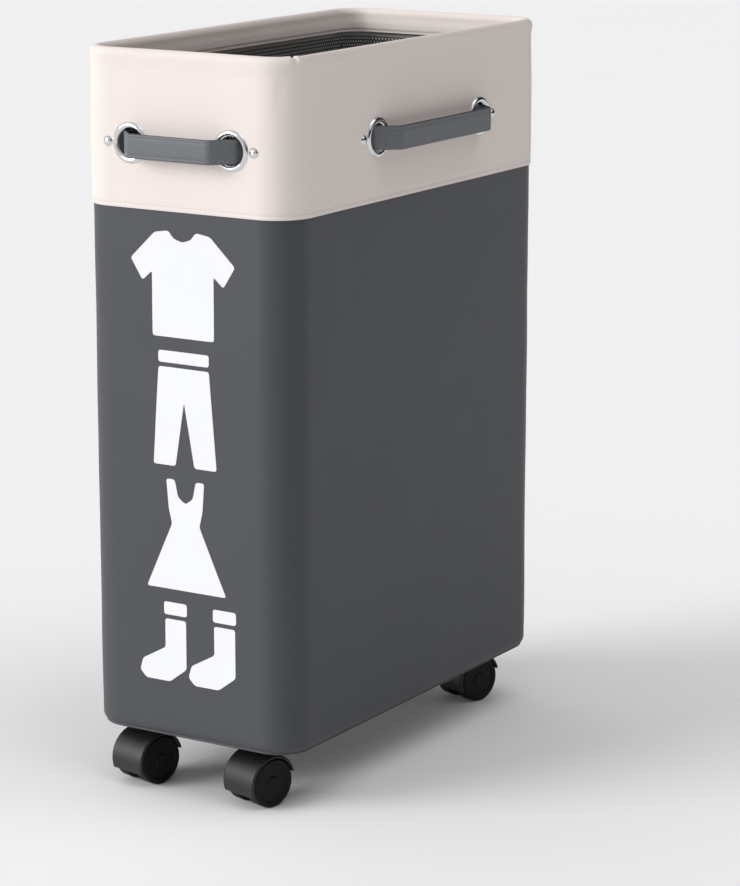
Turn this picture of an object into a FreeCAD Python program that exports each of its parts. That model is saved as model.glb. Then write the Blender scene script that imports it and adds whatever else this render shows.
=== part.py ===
import FreeCAD, Part
import math
import os
import re

import Sketcher
from FreeCAD import Placement, Rotation, Vector

# A slim fabric laundry hamper on four twin-wheel casters. The bag is a rounded rectangle in plan: an
# outer cloth and a lining with a plastic sheet between them, and a cuff that rolls over a wire at the
# rim and comes down inside, where a mesh collar hangs from it. A leather strap on each side passes
# through two eyelets and is riveted inside. The casters screw into tee nuts in a board in the bottom.
# The origin is on the floor under the middle of the bag: +Z up, X across the narrow way.
# Millimetres. A layer of the wall is given by its depth in from the outer face of the cuff.

SIZES = {
    # the whole bag, from the floor
    "width": 200,
    "length": 400,
    "height": 600,
    "corner_round": 31,
    "bag_bottom": 49,
    "bottom_edge_round": 8,
    "pan_height": 8,
    # depths of the wall's layers
    "cuff_thick": 1.7,
    "cloth_face": 1.5,
    "cloth_depth": 2.5,
    "sheet_depth": 4.5,
    "lining_depth": 5.3,
    "cloth_thick": 1,
    "wall_drop": 10,
    # the cuff, the wire and the mesh collar at the rim
    "cuff_height": 124,
    "lap_gap": 0.5,
    "rim_roll": 5.5,
    "rim_band": 18,
    "wire_thick": 4,
    "ferrule_length": 26,
    "ferrule_wall": 1,
    "binding_height": 2.5,
    "binding_depth": 9.8,
    "mesh_depth": 10.2,
    "mesh_thick": 0.6,
    "mesh_length": 150,
    "mesh_hem_height": 14,
    "mesh_hem_thick": 1.4,
    # the bottom
    "board_thick": 5,
    "board_inset": 5.5,
    "board_edge_round": 4,
    "insert_lift": 7.4,
    "insert_thick": 3,
    "insert_inset": 6,
    # the handles: places of the eyelets and rivets, and the strap between them
    "handle_drop": 73,
    "handle_shift": 8,
    "narrow_reach": 47,
    "wide_reach": 80,
    "narrow_rivet": 68,
    "wide_rivet": 101,
    "eyelet_hole": 11,
    "eyelet_wall": 0.6,
    "eyelet_flange": 16.3,
    "eyelet_rise": 1.8,
    "eyelet_flare": 13,
    "eyelet_flare_depth": 6.5,
    "washer_depth": 6,
    "hole_play": 0.1,
    "rivet_head": 4.2,
    "rivet_rise": 2,
    "rivet_shank": 1.8,
    "rivet_back_thick": 0.9,
    "strap_wide": 19,
    "strap_thick": 2.4,
    "strap_bow": 16,
    "strap_bend": 7,
    "strap_start": 0.8,
    "strap_root": 3,
    "strap_lean": 14,
    "tab_depth": 6.6,
    "tab_over": 8,
    # the casters, from the swivel axis and the floor
    "stem_across": 55,
    "stem_along": 166,
    "trail": 10,
    "wheel_round": 20,
    "wheel_shoulder": 1.8,
    "wheel_inner": 5.7,
    "wheel_outer": 17.6,
    "wheel_dish": 0.9,
    "wheel_hollow": 4.6,
    "wheel_bore": 2.55,
    "wheel_bore_end": 15.4,
    "axle_round": 2.5,
    "axle_reach": 15,
    "hood_round": 23.4,
    "hood_inside": 21,
    "hood_half": 18,
    "hood_edge_round": 2,
    "hood_rear_angle": 18,
    "hood_front_angle": 200,
    "web_half": 5.2,
    "boss_round": 9,
    "boss_top": 46,
    "boss_height": 15,
    "stem_pin": 3,
    "stem_bore": 3.06,
    "stem_foot": 33,
    "collar_round": 7,
    "collar_bottom": 46.3,
    "stem_washer_round": 10,
    "stem_washer_thick": 0.8,
    "shank_round": 4,
    "nut_barrel": 5,
    "nut_flange": 10,
    "nut_flange_thick": 1.2,
    "ring_low": 37.2,
    "ring_thick": 1,
    "ring_inner": 2.4,
    "ring_outer": 3.45,
    "ring_play": 0.2,
    "ring_groove": 3.56,
}

doc = FreeCAD.newDocument("laundry_hamper")
sheet = doc.addObject("Spreadsheet::Sheet", "Sizes")
for row, (alias, number) in enumerate(SIZES.items(), 1):
    sheet.set(f"A{row}", alias)
    sheet.set(f"B{row}", str(number))
    sheet.setAlias(f"B{row}", alias)
doc.recompute()

nodes = []  # every object that is written to a file, in order


# ---- small helpers over FreeCAD ---------------------------------------------------------------------


def cells(text):
    """The same formula with each size's name as its cell of the sheet."""
    return re.sub(r"\b([a-z_]+)\b(?!\()", r"Sizes.\1", str(text))


def value(text):
    """What a formula of the sheet's sizes comes to now."""
    return float(sheet.evalExpression(cells(text)))


def node(kind, label):
    """A document object that becomes one file."""
    made = doc.addObject(kind, label)
    made.Label = label
    nodes.append(made)
    return made


def place(thing, x, y, z, turn=0):
    """Puts an object at formulas of the sizes, turned about the vertical."""
    thing.Placement = Placement(Vector(value(x), value(y), value(z)), Rotation(Vector(0, 0, 1), turn))
    for axis, formula in zip("xyz", (x, y, z)):
        thing.setExpression(f".Placement.Base.{axis}", cells(formula))


def origin_plane(body, role):
    return next(f for f in body.Origin.OriginFeatures if f.Role == role)


def new_sketch(body, role, lift="0"):
    """A sketch on one of a body's origin planes, lifted along the plane's normal."""
    sketch = body.newObject("Sketcher::SketchObject", "Sketch")
    sketch.AttachmentSupport = [(origin_plane(body, role), "")]
    sketch.MapMode = "FlatFace"
    sketch.AttachmentOffset = Placement(Vector(0, 0, value(lift)), Rotation())
    sketch.setExpression(".AttachmentOffset.Base.z", cells(lift))
    return sketch


def bind(sketch, constraints):
    """Adds (constraint, formula) pairs to a sketch and binds each one that has a formula."""
    made = sketch.addConstraint([c for c, _ in constraints])
    for index, (_, formula) in zip(made, constraints):
        if formula is not None:
            name = f"size_{index}"
            sketch.renameConstraint(index, name)
            sketch.setExpression(f"Constraints.{name}", cells(formula))


def fixed_point(geometry, end, x, y):
    """The two constraints that put one end of a sketch element at formulas x and y."""
    across = Sketcher.Constraint("DistanceX", -1, 1, geometry, end, value(x))
    along = Sketcher.Constraint("DistanceY", -1, 1, geometry, end, value(y))
    return [(across, x), (along, y)]


def arc_between(start, end, radius, turn):
    """The shorter arc from start to end that turns left (1) or right (-1)."""
    half = (end - start) / 2
    rise = math.sqrt(max(radius**2 - half.Length**2, 0))
    left = Vector(-half.y, half.x, 0).normalize()
    centre = start + half + left * rise * turn
    angles = [math.atan2(p.y - centre.y, p.x - centre.x) for p in (start, end)][::turn]
    return Part.ArcOfCircle(Part.Circle(centre, Vector(0, 0, 1), radius), *angles)


def outline(sketch, vertices):
    """A closed outline of formulas: (x, y) ends a straight edge, and (x, y, radius, turn) an arc."""
    points = [Vector(value(v[0]), value(v[1]), 0) for v in vertices]
    ends = []
    constraints = []
    for i, vertex in enumerate(vertices):
        if len(vertex) == 2:
            geometry = sketch.addGeometry(Part.LineSegment(points[i - 1], points[i]))
            ends.append((geometry, 1, 2))
        else:
            radius, turn = vertex[2:]
            arc = arc_between(points[i - 1], points[i], value(radius), turn)
            geometry = sketch.addGeometry(arc)
            ends.append((geometry, 1, 2) if turn == 1 else (geometry, 2, 1))
            constraints.append((Sketcher.Constraint("Radius", geometry, value(radius)), radius))
    for i, vertex in enumerate(vertices):
        geometry, _, finish = ends[i]
        following, begin, _ = ends[(i + 1) % len(ends)]
        join = Sketcher.Constraint("Coincident", geometry, finish, following, begin)
        constraints += [(join, None)] + fixed_point(geometry, finish, vertex[0], vertex[1])
    bind(sketch, constraints)


def circle(sketch, x, y, radius):
    made = sketch.addGeometry(Part.Circle(Vector(value(x), value(y), 0), Vector(0, 0, 1), value(radius)))
    size = (Sketcher.Constraint("Radius", made, value(radius)), radius)
    bind(sketch, [size] + fixed_point(made, 3, x, y))


def rounded_rectangle(sketch, depth):
    """The bag's plan, in from the cuff's outer face by a depth."""
    x = f"(width/2 - ({depth}))"
    y = f"(length/2 - ({depth}))"
    near_x = "(width/2 - corner_round)"
    near_y = "(length/2 - corner_round)"
    r = f"corner_round - ({depth})"
    outline(
        sketch,
        [
            (x, f"-{near_y}"),
            (x, near_y),
            (near_x, y, r, 1),
            (f"-{near_x}", y),
            (f"-{x}", near_y, r, 1),
            (f"-{x}", f"-{near_y}"),
            (f"-{near_x}", f"-{y}", r, 1),
            (near_x, f"-{y}"),
            (x, f"-{near_y}", r, 1),
        ][1:],
    )


def feature(body, kind, profile, **settings):
    """A PartDesign feature from a sketch. A text setting is a formula of the sizes."""
    made = body.newObject(f"PartDesign::{kind}", kind)
    made.Profile = profile
    for name, setting in settings.items():
        if name in ("Length", "Angle") and isinstance(setting, str):
            made.setExpression(name, cells(setting))
        else:
            setattr(made, name, setting)
    profile.Visibility = False
    return made


def revolve(body, sketch, axis="V_Axis", kind="Revolution"):
    return feature(body, kind, sketch, ReferenceAxis=(sketch, [axis]), Angle=360)


def cut(body, sketch, length=None, **settings):
    """A pocket to a depth, or both ways through everything."""
    before = body.Shape.Volume
    if length is None:
        settings.update(SideType="Symmetric", Type="ThroughAll")
    else:
        settings["Length"] = length
    made = feature(body, "Pocket", sketch, **settings)
    doc.recompute()
    if not made.Shape.Volume < before - 0.01:
        raise RuntimeError(f"a pocket in {body.Label} cuts nothing")
    return made


def copies(label, pattern, places):
    """One node of equal solids: links to a pattern body, each at (x, y, z, turn)."""
    links = []
    for number, where in enumerate(places, 1):
        link = doc.addObject("App::Link", f"{label}_{number}")
        link.LinkedObject = pattern
        place(link, *where)
        links.append(link)
    group = node("Part::Compound", label)
    group.Links = links
    return group


# ---- where things repeat ----------------------------------------------------------------------------

# name, formula of the wall's x and y, turn that takes the front wall there, reach of eyelet and rivet
HANDLES = [
    ("front", "0", "-length/2", 0, "narrow_reach", "narrow_rivet"),
    ("right", "width/2", "handle_shift", 90, "wide_reach", "wide_rivet"),
    ("back", "0", "length/2", 180, "narrow_reach", "narrow_rivet"),
    ("left", "-width/2", "handle_shift", -90, "wide_reach", "wide_rivet"),
]
HANDLE_HEIGHT = "height - handle_drop"

# name, formula of the swivel axis's x and y, turn of the wheels from trailing towards -y
CASTERS = [
    ("front_left", "-stem_across", "-stem_along", -13),
    ("front_right", "stem_across", "-stem_along", -15),
    ("back_left", "-stem_across", "stem_along", -12),
    ("back_right", "stem_across", "stem_along", -17),
]


def handle_places(reach_of):
    """(x, y, z, turn) of both ends of every handle, at the reach that reach_of picks for a handle."""
    places = []
    for handle in HANDLES:
        _, wall_x, wall_y, turn = handle[:4]
        for side in (-1, 1):
            along_x = round(math.cos(math.radians(turn))) * side
            along_y = round(math.sin(math.radians(turn))) * side
            reach = reach_of(handle)
            x = f"{wall_x} + ({along_x})*{reach}"
            y = f"{wall_y} + ({along_y})*{reach}"
            places.append((x, y, HANDLE_HEIGHT, turn))
    return places


EYELETS = handle_places(lambda handle: handle[4])
RIVETS = handle_places(lambda handle: handle[5])


def handle_holes(body):
    """Holes for every eyelet and rivet through the walls of a tube."""
    for role, middle, reach, rivet in (
        ("XZ_Plane", "0", "narrow_reach", "narrow_rivet"),
        ("YZ_Plane", "handle_shift", "wide_reach", "wide_rivet"),
    ):
        sketch = new_sketch(body, role)
        for sign in ("+", "-"):
            eyelet_hole = "eyelet_hole + eyelet_wall + hole_play"
            circle(sketch, f"{middle} {sign} {reach}", HANDLE_HEIGHT, eyelet_hole)
            circle(sketch, f"{middle} {sign} {rivet}", HANDLE_HEIGHT, "rivet_shank + hole_play")
        cut(body, sketch)


def tube(label, outer_depth, inner_depth, low, tall):
    """An upright tube of the bag's plan between two depths."""
    body = node("PartDesign::Body", label)
    sketch = new_sketch(body, "XY_Plane", low)
    rounded_rectangle(sketch, outer_depth)
    rounded_rectangle(sketch, inner_depth)
    feature(body, "Pad", sketch, Length=tall)
    doc.recompute()
    return body


# ---- the bag ----------------------------------------------------------------------------------------

WALL_LOW = "bag_bottom + pan_height"
WALL_TALL = "height - wall_drop - bag_bottom - pan_height"
LAP_LOW = "height - cuff_height - lap_gap"


def make_walls():
    """The outer cloth, the plastic sheet and the lining, each a tube with the handles' holes."""
    cloth = tube("wall_fabric", "cloth_face", "cloth_depth", WALL_LOW, f"{LAP_LOW} - ({WALL_LOW})")
    # The cuff laps over the cloth, which is pressed a little thinner there.
    pressed = new_sketch(cloth, "XY_Plane", LAP_LOW)
    rounded_rectangle(pressed, "cuff_thick")
    rounded_rectangle(pressed, "cloth_depth")
    feature(cloth, "Pad", pressed, Length="height - wall_drop - (" + LAP_LOW + ")")
    doc.recompute()
    handle_holes(cloth)
    for label, outer, inner in (
        ("wall_stiffener", "cloth_depth", "sheet_depth"),
        ("inner_lining", "sheet_depth", "lining_depth"),
    ):
        handle_holes(tube(label, outer, inner, WALL_LOW, WALL_TALL))


def make_bottom_fabric():
    """The bottom cloth, turned up all round to meet the walls, with a hole for each caster."""
    body = node("PartDesign::Body", "bottom_fabric")
    sketch = new_sketch(body, "XY_Plane", "bag_bottom")
    rounded_rectangle(sketch, "cloth_face")
    pad = feature(body, "Pad", sketch, Length="pan_height")
    doc.recompute()
    low = value("bag_bottom")
    edges = [
        f"Edge{i}"
        for i, edge in enumerate(pad.Shape.Edges, 1)
        if abs(edge.BoundBox.ZMax - low) < 0.01
    ]
    # Just under the pan's height, so that a rim is left to open.
    round_off = body.newObject("PartDesign::Fillet", "Fillet")
    round_off.Base = (pad, edges)
    round_off.setExpression("Radius", cells("bottom_edge_round - 0.05"))
    doc.recompute()
    high = value(WALL_LOW)
    top = next(
        f"Face{i}"
        for i, face in enumerate(round_off.Shape.Faces, 1)
        if abs(face.BoundBox.ZMin - high) < 0.01
    )
    shell = body.newObject("PartDesign::Thickness", "Thickness")
    shell.Base = (round_off, [top])
    shell.Reversed = True
    shell.setExpression("Value", cells("cloth_thick"))
    doc.recompute()
    holes = new_sketch(body, "XY_Plane", "bag_bottom")
    for _, x, y, _ in CASTERS:
        circle(holes, x, y, "shank_round")
    cut(body, holes)


def pipe_along_rim(label, draw_profile, depth, lift):
    """A closed pipe: the profile in the XZ plane, swept round the bag's plan at a depth."""
    body = node("PartDesign::Body", label)
    path = body.newObject("Sketcher::SketchObject", "Path")
    path.AttachmentSupport = [(origin_plane(body, "XY_Plane"), "")]
    path.MapMode = "FlatFace"
    path.AttachmentOffset = Placement(Vector(0, 0, value(lift)), Rotation())
    path.setExpression(".AttachmentOffset.Base.z", cells(lift))
    x = f"(width/2 - ({depth}))"
    y = f"(length/2 - ({depth}))"
    near_x = "(width/2 - corner_round)"
    near_y = "(length/2 - corner_round)"
    r = f"corner_round - ({depth})"
    outline(
        path,
        [
            (x, near_y),
            (near_x, y, r, 1),
            (f"-{near_x}", y),
            (f"-{x}", near_y, r, 1),
            (f"-{x}", f"-{near_y}"),
            (f"-{near_x}", f"-{y}", r, 1),
            (near_x, f"-{y}"),
            (x, f"-{near_y}", r, 1),
            (x, "0"),
        ],
    )
    profile = new_sketch(body, "XZ_Plane")
    draw_profile(profile)
    pipe = feature(body, "AdditivePipe", profile)
    pipe.Spine = (path, [])
    doc.recompute()
    return body


def make_cuff():
    """The cuff, rolled over the wire and down inside the rim."""
    outer = "width/2"
    rolled = "width/2 - rim_roll"
    inner = "width/2 - 2*rim_roll"
    level = "height - rim_roll"
    low = "height - cuff_height"
    band_low = "height - rim_band"
    bore = "rim_roll - cuff_thick"

    def profile(sketch):
        outline(
            sketch,
            [
                (outer, level),
                (rolled, "height", "rim_roll", 1),
                (inner, level, "rim_roll", 1),
                (inner, band_low),
                (f"{inner} + cuff_thick", band_low),
                (f"{inner} + cuff_thick", level),
                (rolled, "height - cuff_thick", bore, -1),
                (f"{outer} - cuff_thick", level, bore, -1),
                (f"{outer} - cuff_thick", low),
                (outer, low),
            ],
        )

    body = pipe_along_rim("cuff_fabric", profile, "cuff_thick", "height - cuff_height/2")
    handle_holes(body)


def make_rim_wire():
    """The wire loop in the rim, and the ferrule that joins its ends at the back."""

    def profile(sketch):
        circle(sketch, "width/2 - rim_roll", "height - rim_roll", "wire_thick/2")

    pipe_along_rim("rim_wire", profile, "rim_roll", "height - rim_roll")
    body = node("PartDesign::Body", "rim_ferrule")
    sketch = new_sketch(body, "YZ_Plane")
    for radius in ("wire_thick/2 + ferrule_wall", "wire_thick/2"):
        circle(sketch, "length/2 - rim_roll", "height - rim_roll", radius)
    feature(body, "Pad", sketch, Length="ferrule_length", SideType="Symmetric")
    doc.recompute()


def make_mesh():
    """The mesh collar inside the rim: its binding, the mesh, and the hem at its lower edge."""
    binding_low = "height - rim_band - binding_height"
    tube("mesh_binding", "binding_depth", "2*rim_roll", binding_low, "binding_height")
    mesh_low = f"{binding_low} - mesh_length"
    tube("mesh_cover", "mesh_depth", "mesh_depth + mesh_thick", mesh_low, "mesh_length")
    middle = "mesh_depth + mesh_thick/2"
    tube(
        "mesh_hem",
        f"{middle} - mesh_hem_thick/2",
        f"{middle} + mesh_hem_thick/2",
        f"{mesh_low} - mesh_hem_height",
        "mesh_hem_height",
    )


def make_board():
    """The board in the bottom that carries the casters, with a hole for each tee nut."""
    body = node("PartDesign::Body", "base_board")
    sketch = new_sketch(body, "XY_Plane", "bag_bottom + cloth_thick")
    rounded_rectangle(sketch, "board_inset")
    pad = feature(body, "Pad", sketch, Length="board_thick")
    doc.recompute()
    low = value("bag_bottom + cloth_thick")
    edges = [
        f"Edge{i}"
        for i, edge in enumerate(pad.Shape.Edges, 1)
        if abs(edge.BoundBox.ZMax - low) < 0.01
    ]
    round_off = body.newObject("PartDesign::Fillet", "Fillet")
    round_off.Base = (pad, edges)
    round_off.setExpression("Radius", cells("board_edge_round"))
    doc.recompute()
    holes = new_sketch(body, "XY_Plane", "bag_bottom")
    for _, x, y, _ in CASTERS:
        circle(holes, x, y, "nut_barrel")
    cut(body, holes)


def make_insert():
    """The loose covered board that lies in the bottom, over the tee nuts."""
    body = node("PartDesign::Body", "floor_insert")
    sketch = new_sketch(body, "XY_Plane", "bag_bottom + insert_lift")
    rounded_rectangle(sketch, "insert_inset")
    feature(body, "Pad", sketch, Length="insert_thick")
    doc.recompute()


# ---- the handles ------------------------------------------------------------------------------------
# Each is drawn as on the front wall, with y = 0 on the cuff's outer face and +y into the bag.


def crown(inner, outer, rise):
    """Two arcs over a flange from its outer edge to its inner one, and their radius."""
    half = f"(({outer} - {inner})/2)"
    radius = f"({half}^2 + {rise}^2)/(2*{rise})"
    return [
        (f"({inner} + {outer})/2", f"-{rise}", radius, -1),
        (inner, "0", radius, -1),
    ]


def make_eyelets():
    """Eyelets rolled over washers on the lining."""
    pattern = doc.addObject("PartDesign::Body", "eyelet_pattern")
    sketch = new_sketch(pattern, "XY_Plane")
    barrel = "eyelet_hole + eyelet_wall"
    outline(
        sketch,
        crown("eyelet_hole", "eyelet_flange", "eyelet_rise")
        + [
            ("eyelet_hole", "eyelet_flare_depth"),
            ("eyelet_flare", "eyelet_flare_depth"),
            ("eyelet_flare", "washer_depth"),
            (barrel, "washer_depth"),
            (barrel, "0"),
            ("eyelet_flange", "0"),
        ],
    )
    revolve(pattern, sketch)
    copies("handle_eyelets", pattern, EYELETS)
    pattern = doc.addObject("PartDesign::Body", "washer_pattern")
    sketch = new_sketch(pattern, "XY_Plane")
    outline(
        sketch,
        [
            (barrel, "lining_depth"),
            ("eyelet_flange - 1", "lining_depth"),
            ("eyelet_flange - 1", "washer_depth"),
            (barrel, "washer_depth"),
        ],
    )
    revolve(pattern, sketch)
    copies("eyelet_washers", pattern, EYELETS)


def make_rivets():
    """Domed rivets through the wall and the strap's end, and the discs that they are set on inside."""
    pattern = doc.addObject("PartDesign::Body", "rivet_pattern")
    sketch = new_sketch(pattern, "XY_Plane")
    dome = "(rivet_head^2 + rivet_rise^2)/(2*rivet_rise)"
    back = "tab_depth + strap_thick"
    outline(
        sketch,
        [
            ("0", back),
            ("rivet_shank", back),
            ("rivet_shank", "0"),
            ("rivet_head", "0"),
            ("0", "-rivet_rise", dome, -1),
        ],
    )
    revolve(pattern, sketch)
    copies("handle_rivets", pattern, RIVETS)
    pattern = doc.addObject("PartDesign::Body", "rivet_back_pattern")
    sketch = new_sketch(pattern, "XY_Plane")
    outline(
        sketch,
        [
            ("0", back),
            ("rivet_head - 0.4", back),
            ("rivet_head - 0.4", f"{back} + rivet_back_thick"),
            ("0", f"{back} + rivet_back_thick"),
        ],
    )
    revolve(pattern, sketch)
    copies("rivet_backs", pattern, RIVETS)


def make_strap(name, wall_x, wall_y, turn, reach):
    """The part of a strap outside the bag. Its legs lean in from the eyelets to the run between them."""
    body = node("PartDesign::Body", f"handle_{name}")
    sketch = new_sketch(body, "XY_Plane")
    half = "strap_thick/2"
    leg = "sqrt(strap_lean^2 + (strap_bow + strap_start)^2)"
    sine = f"(strap_lean/{leg})"
    cosine = f"((strap_bow + strap_start)/{leg})"
    root = f"({reach} + strap_root)"
    flat = f"({root} - strap_lean - strap_bend*{cosine}/(1 + {sine}))"

    def on_bend(radius):
        """Where an arc about the bend's centre meets the leg."""
        return f"({flat} + ({radius})*{cosine})", f"strap_bend - strap_bow - ({radius})*{sine}"

    outer, inner = f"strap_bend + {half}", f"strap_bend - {half}"
    outer_x, outer_y = on_bend(outer)
    inner_x, inner_y = on_bend(inner)
    ends = []
    for side in ("+", "-"):
        ends.append((f"({root} {side} {half}*{cosine})", f"strap_start - ({side}1)*{half}*{sine}"))
    (far_x, far_y), (near_x, near_y) = ends
    outline(
        sketch,
        [
            (far_x, far_y),
            (near_x, near_y),
            (inner_x, inner_y),
            (flat, f"-strap_bow + {half}", inner, -1),
            (f"-{flat}", f"-strap_bow + {half}"),
            (f"-{inner_x}", inner_y, inner, -1),
            (f"-{near_x}", near_y),
            (f"-{far_x}", far_y),
            (f"-{outer_x}", outer_y),
            (f"-{flat}", f"-strap_bow - {half}", outer, 1),
            (flat, f"-strap_bow - {half}"),
            (outer_x, outer_y, outer, 1),
        ],
    )
    feature(body, "Pad", sketch, Length="strap_wide", SideType="Symmetric")
    place(body, wall_x, wall_y, HANDLE_HEIGHT, turn)
    doc.recompute()


def make_tabs(name, wall_x, wall_y, turn, reach, rivet):
    """The two ends of a strap inside the bag, from behind the eyelets to past the rivets."""
    for side, sign in (("left", "-"), ("right", "")):
        body = node("PartDesign::Body", f"handle_{name}_{side}_tab")
        low = "tab_depth"
        high = "tab_depth + strap_thick"
        near = f"{sign}({reach} - strap_thick/2)"
        far = f"{sign}({rivet} + tab_over)"
        sketch = new_sketch(body, "XY_Plane")
        outline(sketch, [(far, low), (far, high), (near, high), (near, low)])
        feature(body, "Pad", sketch, Length="strap_wide", SideType="Symmetric")
        doc.recompute()
        hole = new_sketch(body, "XZ_Plane")
        circle(hole, f"{sign}{rivet}", "0", "rivet_shank")
        cut(body, hole)
        place(body, wall_x, wall_y, HANDLE_HEIGHT, turn)
    doc.recompute()


# ---- the casters ------------------------------------------------------------------------------------
# Each is drawn with its swivel axis on z and its wheels trailing towards -y, and then turned.


def make_hood(name, x, y, turn):
    """The hood over a caster's wheels, with its web between them and its boss on the stem."""
    body = node("PartDesign::Body", f"caster_hood_{name}")
    axle_y = "-trail"
    axle_z = "wheel_round"
    sketch = new_sketch(body, "YZ_Plane")
    outline(
        sketch,
        [
            (
                f"{axle_y} + hood_round*cos(hood_rear_angle)",
                f"{axle_z} + hood_round*sin(hood_rear_angle)",
            ),
            (axle_y, f"{axle_z} + hood_round", "hood_round", 1),
            (
                f"{axle_y} + hood_round*cos(hood_front_angle)",
                f"{axle_z} + hood_round*sin(hood_front_angle)",
                "hood_round",
                1,
            ),
            (f"{axle_y} - wheel_round/2", f"{axle_z} - wheel_round/3"),
            (axle_y, f"{axle_z} - wheel_round/2.5"),
            (f"{axle_y} + wheel_round/2.5", f"{axle_z}"),
        ],
    )
    pad = feature(body, "Pad", sketch, Length="2*hood_half", SideType="Symmetric")
    doc.recompute()
    side = value("hood_half")
    edges = [
        f"Edge{i}"
        for i, edge in enumerate(pad.Shape.Edges, 1)
        if isinstance(edge.Curve, Part.Circle) and abs(abs(edge.CenterOfMass.x) - side) < 0.01
    ]
    round_off = body.newObject("PartDesign::Fillet", "Fillet")
    round_off.Base = (pad, edges)
    round_off.setExpression("Radius", cells("hood_edge_round"))
    doc.recompute()
    boss = new_sketch(body, "XY_Plane", "boss_top")
    circle(boss, "0", "0", "boss_round")
    feature(body, "Pad", boss, Length="boss_height", Reversed=True)
    doc.recompute()
    for sign, back in (("", True), ("-", False)):
        cavity = new_sketch(body, "YZ_Plane", f"{sign}web_half")
        circle(cavity, axle_y, axle_z, "hood_inside")
        cut(body, cavity, "hood_half", Reversed=back)
    bore = new_sketch(body, "XY_Plane", "boss_top")
    circle(bore, "0", "0", "stem_bore")
    cut(body, bore, "boss_top - stem_foot + 0.5")
    groove = new_sketch(body, "XZ_Plane")
    groove_low = "ring_low - ring_play"
    groove_high = "ring_low + ring_thick + ring_play"
    outline(
        groove,
        [
            ("ring_groove", groove_low),
            ("ring_groove", groove_high),
            ("stem_pin - 0.5", groove_high),
            ("stem_pin - 0.5", groove_low),
        ],
    )
    revolve(body, groove, kind="Groove")
    axle = new_sketch(body, "YZ_Plane")
    circle(axle, axle_y, axle_z, "axle_round")
    doc.recompute()
    cut(body, axle)
    place(body, x, y, "0", turn)
    doc.recompute()


def make_axle(name, x, y, turn):
    """The pin that a caster's two wheels turn on, fixed in the hood's web."""
    body = node("PartDesign::Body", f"caster_axle_{name}")
    sketch = new_sketch(body, "YZ_Plane")
    circle(sketch, "-trail", "wheel_round", "axle_round")
    feature(body, "Pad", sketch, Length="2*axle_reach", SideType="Symmetric")
    place(body, x, y, "0", turn)
    doc.recompute()


def make_wheel(name, x, y, turn, side, sign):
    """One wheel, turned about the axle: blind bore, hollow inner face and a shallow dish outside."""
    body = node("PartDesign::Body", f"caster_wheel_{name}_{side}")
    sketch = new_sketch(body, "XY_Plane")
    inner = f"{sign}wheel_inner"
    outer = f"{sign}wheel_outer"
    dish = f"{sign}(wheel_outer - wheel_dish)"
    hollow = f"{sign}(wheel_inner + wheel_hollow)"
    shoulder = "wheel_round - wheel_shoulder"
    bend = -1 if sign == "" else 1
    outline(
        sketch,
        [
            (f"{sign}wheel_bore_end", "wheel_bore"),
            (inner, "wheel_bore"),
            (inner, "wheel_round*0.3"),
            (hollow, "wheel_round*0.34"),
            (hollow, "wheel_round*0.76"),
            (inner, "wheel_round*0.8"),
            (inner, shoulder),
            (f"{sign}(wheel_inner + wheel_shoulder)", "wheel_round", "wheel_shoulder", bend),
            (f"{sign}(wheel_outer - wheel_shoulder)", "wheel_round"),
            (outer, shoulder, "wheel_shoulder", bend),
            (outer, "wheel_round*0.8"),
            (dish, "wheel_round*0.75"),
            (dish, "wheel_round*0.3"),
            (outer, "wheel_round*0.25"),
            (outer, "0"),
            (f"{sign}wheel_bore_end", "0"),
        ],
    )
    revolve(body, sketch, "H_Axis")
    place(body, f"{x} + trail*sin({turn})", f"{y} - trail*cos({turn})", "wheel_round", turn)
    doc.recompute()


def turned(label, vertices):
    """A pattern body turned about the vertical."""
    pattern = doc.addObject("PartDesign::Body", f"{label}_pattern")
    sketch = new_sketch(pattern, "XZ_Plane")
    outline(sketch, vertices)
    revolve(pattern, sketch)
    doc.recompute()
    return pattern


def make_stems():
    """The parts that hold the casters to the board: stems, washers, tee nuts and grip rings."""
    board_top = "bag_bottom + cloth_thick + board_thick"
    nut_top = f"{board_top} + nut_flange_thick"
    washer_low = "bag_bottom - stem_washer_thick"
    groove_low = "ring_low - ring_play/2"
    groove_high = "ring_low + ring_thick + ring_play/2"
    stem = turned(
        "stem",
        [
            ("stem_pin", "stem_foot"),
            ("stem_pin", groove_low),
            ("ring_inner - 0.05", groove_low),
            ("ring_inner - 0.05", groove_high),
            ("stem_pin", groove_high),
            ("stem_pin", "collar_bottom"),
            ("collar_round", "collar_bottom"),
            ("collar_round", washer_low),
            ("shank_round", washer_low),
            ("shank_round", nut_top),
            ("0", nut_top),
            ("0", "stem_foot"),
        ],
    )
    washer = turned(
        "stem_washer",
        [
            ("stem_washer_round", washer_low),
            ("stem_washer_round", "bag_bottom"),
            ("shank_round", "bag_bottom"),
            ("shank_round", washer_low),
        ],
    )
    nut = turned(
        "tee_nut",
        [
            ("nut_barrel", "bag_bottom + cloth_thick"),
            ("nut_barrel", board_top),
            ("nut_flange", board_top),
            ("nut_flange", nut_top),
            ("shank_round", nut_top),
            ("shank_round", "bag_bottom + cloth_thick"),
        ],
    )
    ring = turned(
        "grip_ring",
        [
            ("ring_outer", "ring_low"),
            ("ring_outer", "ring_low + ring_thick"),
            ("ring_inner", "ring_low + ring_thick"),
            ("ring_inner", "ring_low"),
        ],
    )
    places = [(x, y, "0", 0) for _, x, y, _ in CASTERS]
    for label, pattern in (
        ("caster_stems", stem),
        ("stem_washers", washer),
        ("tee_nuts", nut),
        ("stem_grip_rings", ring),
    ):
        copies(label, pattern, places)


# ---- build, check and write -------------------------------------------------------------------------

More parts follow.
